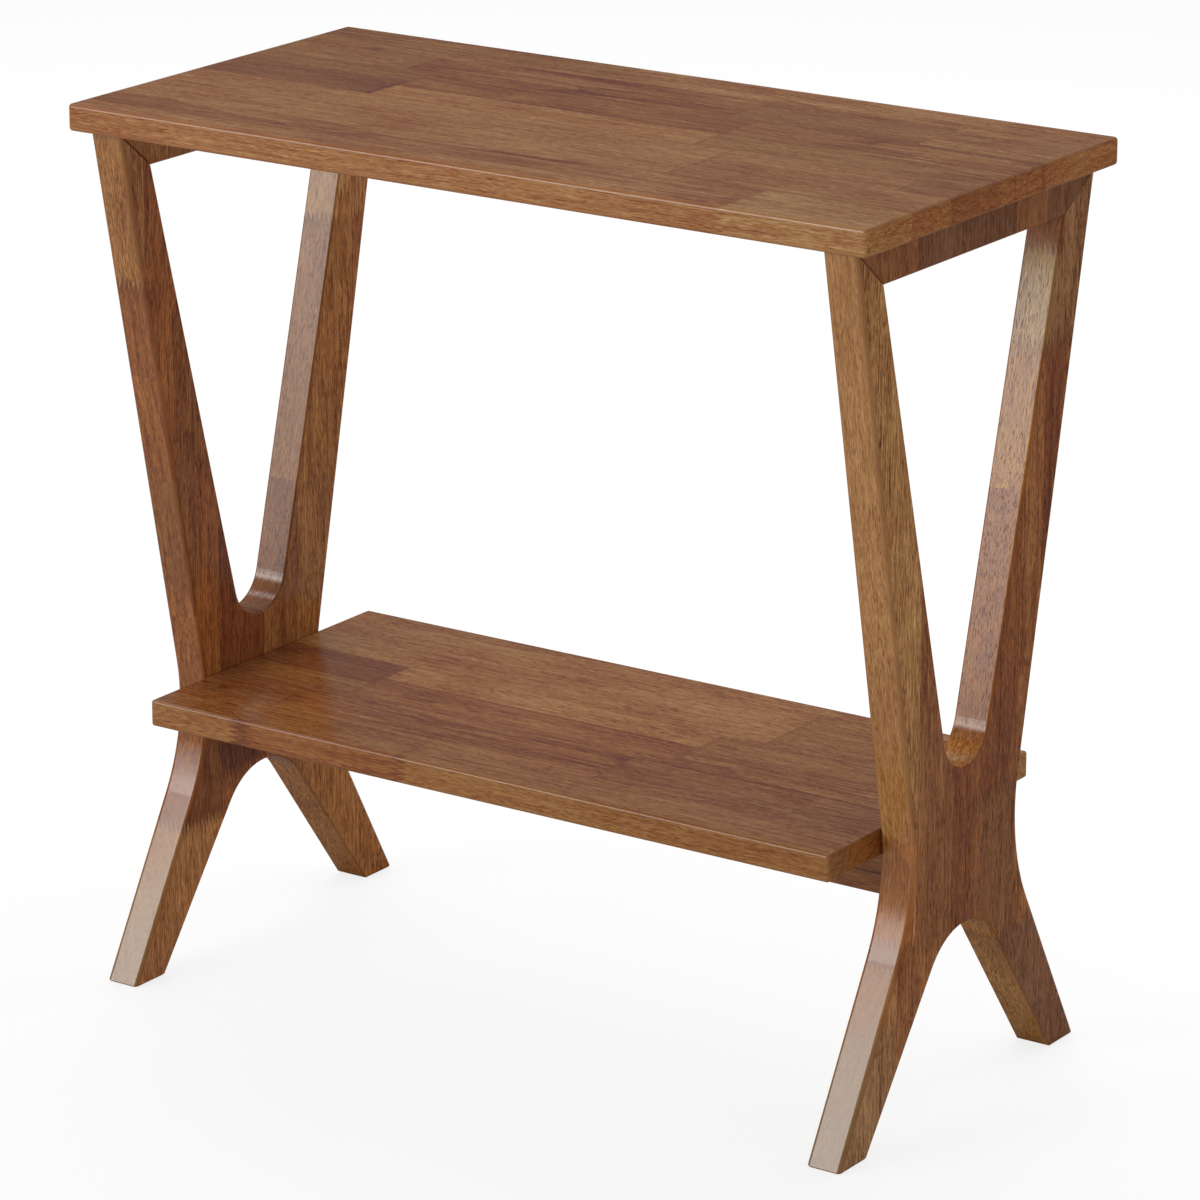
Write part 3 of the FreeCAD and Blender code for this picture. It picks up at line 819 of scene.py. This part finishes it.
# %% Single lines of the top: growth lines, glue lines and a knot
top_lines = [
    ((78, 310), (57, 54), 1.6, 0.75, 1.0, 14),
    ((88, 310), (39, 36), 1.1, 0.50, 1.0, 14),
    ((84, 310), (30, 21), 1.5, 0.70, 1.0, 14),
    ((-190, 62), (79, 86), 1.5, 0.55, 1.0, 20),
    ((-186, 66), (58, 57), 1.5, 0.55, 0.6, 8),
    ((-186, 60), (101, 97), 1.2, 0.40, 1.0, 20),
    ((-30, 66), (92, 90), 1.2, 0.40, 1.0, 14),
    ((-170, 88), (17, 15), 1.2, 0.75, 0.2, 6),
    ((-160, 70), (1, 0), 1.0, 0.30, 0.6, 20),
    ((-285, -170), (-17, -17), 1.0, 0.45, 0.4, 16),
    ((80, 262), (-17, -18), 0.9, 0.55, 0.3, 16),
    ((-285, -195), (67, 68), 0.8, 0.30, 0.5, 16),
    ((-285, -110), (-98, -99), 0.8, 0.35, 0.3, 20),
    ((-16, 258), (-94, -98), 1.1, 0.55, 0.5, 16),
    ((204, 300), (92, 66), 1.4, 0.55, 0.6, 8),
    ((206, 262), (94, 104), 1.3, 0.35, 0.6, 14),
    ((-248, -228), (99, 99), 6.0, 0.60, 0.0, 9),
    ((-292, -246), (-54, -55), 2.4, 0.75, 1.0, 18),
    ((-296, -262), (-66, -66), 2.6, 0.55, 1.0, 14),
    ((256, 310), (-24, -26), 9.0, 0.45, 1.0, 22),
]
print(len(top_lines), "lines in the top")

# %% [markdown]
# The top and the shelf lie under a lacquer that mirrors the room more than the legs do,
# and that pale mirror image hides most of the blue of the wood. So their figure swings
# further in blue and less in red, and their dark lines keep almost no blue, to look the
# same as on the legs.

# %% Finish the top
def finish_part(name, material):
    """Gives a part its material in every slot."""
    mesh = parts[name].data
    mesh.materials.clear()
    mesh.materials.append(material)


board_swing = (0.66, 1.38, 2.60, 1)
board_dark = (0.52, 0.23, 0.03, 1)
top_wood = stave_wood("top_wood", lengthwise, ("fawn", 0.12), top_staves, top_lines,
                      pores=0.9, threads=(0.14, 0.95), bands=(0.14, 0.34),
                      narrow_tone_and_light=(0.93, 0.93, 0.87), shade=0.97, dark_ends=(0.35, 3.0),
                      swing=board_swing, dark_tone=board_dark)
finish_part("tabletop", top_wood)

# %% [markdown]
# ## The shelf
#
# The shelf is made in the same way. It shows much the same staves in mirrored order, which
# is what happens when two boards are cut from one wide panel and one is turned over. So
# its lists are worked out from the lists of the top. A few staves of its own follow, and
# the last four of them are its front edge.

# %% Staves of the shelf
def turned_over(across):
    """Where a stave of the top comes to lie on the narrower shelf."""
    return 15.8 - 0.9 * across


def moved_along(along, slide=-4):
    return tuple(end + slide for end in along)


shelf_staves = [(moved_along(along), (turned_over(high), turned_over(low)), *rest)
                for along, (low, high), *rest in top_staves]
shelf_staves += [
    # painted shade: this stave is darker toward the left end of the shelf, where the left frame
    # shades it
    ((-END, -192), (-85, -33), "umber", 0.3),
    ((-END, -166), (-11, 31), "red", 0.35, 0.2, 7.0),
    ((116, END), (32, 105), "tan", 0.15),
    ((-END, -64), (-119.5, -85), "tan", 0.35),
    ((-64, END), (-119.5, -85), "olive", 0.35),
    ((-END, 190), (105, 160), "honey", 0.35),
    ((201, END), (-85, -33), "nut", 0.4),
    # painted shade: this stave darkens the front band at the shelf's left end, where the left
    # frame shades it
    ((-END, -205), (-119.5, -85), "nut", 0.3, 0.0, 1.0),
    ((-END, -194), (-140, -119.5), "honey", 0.1),
    ((-194, -60), (-140, -119.5), "streaked", 0.5, 0.85, 8.0),
    ((-195, -185), (-140, -119.5), "wine", 0.3, 0.0, 1.0),
    ((-60, END), (-140, -119.5), "honey", 0.3),
]
shelf_lines = [(moved_along(along), (turned_over(first), turned_over(last)), *rest)
               for along, (first, last), *rest in top_lines]
print(len(shelf_staves), "staves in the shelf")

# %% Finish the shelf
# Its narrow faces are darker and less blue: partly painted shade, as on its ends near the legs.
shelf_wood = stave_wood("shelf_wood", lengthwise, ("fawn", 0.12), shelf_staves, shelf_lines,
                        seed=20, pores=1.0, figure=1.15, calm=0.8,
                        threads=(0.14, 0.75), bands=(0.14, 0.20),
                        end_tone=(1.00, 0.97, 1.00, 1), shade=0.90, narrow_tone_and_light=(0.93, 0.94, 0.75),
                        dark_ends=(0.4, 4.0), swing=board_swing, dark_tone=board_dark)
finish_part("shelf_board", shelf_wood)

# %% [markdown]
# ## The frames
#
# In the frames the grain runs upright, and a leg leans across it, so the edges of a leg
# cut through one stave after another. The two halves of a frame are glued on the seam in
# the middle. At the top, two slanted lines mark the mitres between the legs and the rail.
# Seams and other hairlines of glue are staves too, a millimetre or so wide. A stave whose
# dark ends have strength 0 has none, which suits a change of tone inside one piece of wood.

# %% Mitres and seams
front_mitre = ((556.5, 582.5), (-110.3, -141.8), 1.0, 0.9, 0.0, 0.5)
rear_mitre = ((556.5, 582.5), (101.6, 141.8), 1.1, 0.9, 0.0, 0.5)
both_mitres = [front_mitre, rear_mitre]
seam_front = ((115, 240), (-0.7, 0), "glue", 0.0)
seam_rear = ((115, 240), (0, 0.7), "glue", 0.0)
print("mitres", front_mitre[1], "and", rear_mitre[1], "mm from the middle")

# %% Right rear leg
right_rear_staves = [
    ((-END, 199), (18, 60), "bark", 0.2),
    ((-END, 199), (0, 18), "brick", 0.3),
    ((199, END), (0, 60), "red", 0.35),
    ((-END, 477), (60, 85), "nut", 0.5),
    ((-END, 477), (85, 108), "wine", 0.6),
    ((477, END), (60, 180), "hazel", 0.15),
    ((-END, 477), (108, 180), "nut", 0.3),
    # painted shade: the top of the fork's face just under the rail is darkened where the top
    # shades it
    ((536, 600), (60, 104), "wine", 0.2),
    ((-END, 100), (40, 180), "rail", 0.3),
    ((197, 226), (17.4, 18.6), "bark", 0.0),
    ((126, 199), (31.4, 32.6), "wine", 0.0),
    seam_rear,
]
right_rear_lines = [
    rear_mitre,
    ((126, 199), (44, 45), 0.8, 0.5, 1.0, 10),
    ((340, 476), (92, 96), 3.5, 0.5, 1.0, 12),
]
# Its narrow faces are made much lighter: painted light in its fork and on its arch.
finish_part("right_rear_leg",
            stave_wood("right_rear_wood", upright, ("russet", 0.4), right_rear_staves,
                       right_rear_lines, seed=50, pores=1.1, figure=1.3, calm=0.8,
                       narrow_tone_and_light=(1.46, 1.75, 1.27), fork="fork"))

# %% Right front leg
right_front_staves = [
    ((-END, END), (-17, 0), "red", 0.2),
    ((118, END), (-60, -17), "umber", 0.25, 0.0, 1.0),
    ((140, END), (-180, -60), "sand", 0.2),
    # painted light: this stave lifts the front of the waist, where the shelf casts its shadow
    ((128, 192), (-180, -60), "waist_painted_light", 0.2, 0.0, 1.0),
    ((-END, 140), (-180, -82), "flax", 0.2, 0.0, 1.0),
    ((78, 113), (-180, -80), "honey", 0.2, 0.35, 3.0),
    ((120, 204), (-17.6, -16.6), "wine", 0.0),
    seam_front,
]
right_front_lines = [
    front_mitre,
    ((418, 458), (-102, -102), 1.0, 0.8, 0.6, 10),
    ((140, 210), (-36, -34), 1.0, 0.35, 1.0, 16),
]
finish_part("right_front_leg",
            stave_wood("right_front_wood", upright, ("nut", 0.3), right_front_staves,
                       right_front_lines, seed=40, pores=0.95, figure=1.3, calm=0.56,
                       narrow_tone_and_light=(0.98, 1.0, 1.04), fork="fork"))

# %% Left rear leg
left_rear_staves = [
    ((481, END), (40, 103), "sand", 0.1),
    ((200, 481), (40, 103), "tan", 0.4, 0.0, 1.0),
    ((478, 500), (89, 103), "tan", 0.4, 0.0, 1.0),
    ((300, 481), (40, 88), "tan", 0.4, 0.6, 7.0),
    ((478.0, 481.5), (40, 87), "bark", 0.2, 0.0, 1.0),
    ((480, END), (103, 180), "honey", 0.3),
    ((-END, 480), (103, 180), "nut", 0.5),
    ((110, 350), (0, 40), "umber", 0.4),
    ((-END, 110), (30, 180), "tan", 0.35),
    seam_rear,
]
left_rear_lines = [rear_mitre, ((470, 560), (97, 99), 0.9, 0.5, 1.0, 14)]
finish_part("left_rear_leg",
            stave_wood("left_rear_wood", upright, ("nut", 0.4), left_rear_staves,
                       left_rear_lines, seed=80, pores=1.1, figure=1.25, calm=0.8,
                       narrow_tone_and_light=(0.83, 0.85, 0.84)))

# %% Left front leg
left_front_staves = [
    ((477, END), (-180, -119), "honey", 0.05),
    ((97, 477), (-180, -72), "russet", 0.65, 0.0, 1.0),
    ((300, 477), (-180, -107), "russet", 0.65, 0.55, 20.0),
    ((473.5, 477.5), (-180, -107), "bark", 0.2, 0.0, 1.0),
    ((260, 455), (-92, -40), "brick", 0.5, 0.0, 4.0),
    ((97, 350), (-72, -48), "russet", 0.5, 0.6, 12.0),
    ((97, 190), (-180, -66), "russet", 0.6, 0.6, 26.0),
    ((96.5, 100), (-180, -48), "bark", 0.2, 0.0, 1.0),
    ((122, 350), (-48, 0), "wine", 0.4),
    ((-END, 97), (-180, -48), "straw", 0.35),
    ((199, 228), (-11.5, -10.6), "glue", 0.0),
    seam_front,
]
finish_part("left_front_leg",
            stave_wood("left_front_wood", upright, ("russet", 0.45), left_front_staves,
                       [front_mitre], seed=70, pores=1.1, figure=1.25, calm=0.85,
                       threads=(0.12, 0.35), narrow_tone_and_light=(0.87, 0.90, 0.80)))

# %% Top rails
right_rail_staves = [
    ((-END, END), (-180, -72), "umber", 0.4),
    ((-END, END), (44, 82), "umber", 0.3),
]
left_rail_staves = [((-END, END), (-30, 20), "nut", 0.4)]
finish_part("right_top_rail", stave_wood("right_rail_wood", upright, ("rail", 0.4),
                                         right_rail_staves, both_mitres, seed=60, pores=0.7))
finish_part("left_top_rail", stave_wood("left_rail_wood", upright, ("tan", 0.4),
                                        left_rail_staves, both_mitres, seed=90, pores=0.8))

# %% [markdown]
# ## The stretcher
#
# The rail under the shelf stands on edge, so across the grain is upwards here. It is glued
# up from two layers, and the glue line runs along it near the lower edge of its front.

# %% Stretcher
glue_line = ((-END, END), (145, 145), 0.9, 0.9, 0.0, 1)
stretcher_wood = stave_wood("stretcher_wood", on_edge, ("nut", 0.3),
                            [((-END, END), (100, 145), "umber", 0.4)], [glue_line],
                            seed=100, pores=0.8)
finish_part("shelf_stretcher", stretcher_wood)

# %% [markdown]
# ## Dowels, screws and cam fittings
#
# They sit inside the wood, and only the ends of the screws and cams show from below and
# behind. The dowels are plain beech with straight grain. The metal is zinc plated steel:
# bright, a little blue, and clouded.

# %% Beech
beech = stave_wood("dowel_beech", upright, ("beech", 0.1), [], seed=110)

# %% Zinc
def plated_metal(name, color, roughness, cloud):
    """cloud is how far the plating goes toward a darker grey where it is clouded."""
    material, tree = new_material(name)
    clouds = put(tree, "ShaderNodeTexNoise")
    feed(tree, clouds.inputs["Vector"], put(tree, "ShaderNodeTexCoord").outputs["Object"])
    clouds.inputs["Scale"].default_value = 700
    clouds.inputs["Detail"].default_value = 3
    clouded = calc(tree, "MULTIPLY", clouds.outputs[0], cloud)
    shader = put(tree, "ShaderNodeBsdfPrincipled")
    shader.inputs["Metallic"].default_value = 1
    feed(tree, shader.inputs["Base Color"], blend(tree, clouded, color, (0.3, 0.3, 0.3, 1)))
    feed(tree, shader.inputs["Roughness"],
         calc(tree, "MULTIPLY_ADD", clouds.outputs[0], 0.2, roughness))
    feed(tree, put(tree, "ShaderNodeOutputMaterial").inputs["Surface"], shader.outputs[0])
    print(name, "roughness from", roughness)
    return material


zinc = plated_metal("zinc_plate", (0.62, 0.64, 0.66, 1), 0.25, 0.5)
cast = plated_metal("cast_zinc", (0.50, 0.50, 0.50, 1), 0.35, 0.6)

# %% Finish the fittings
fitting_finishes = {"dowel": beech, "screw": zinc, "cam_bolt": zinc, "cam_lock": cast}
for name in parts:
    for kind, material in fitting_finishes.items():
        if kind in name:
            finish_part(name, material)
            print(name, "is", material.name)
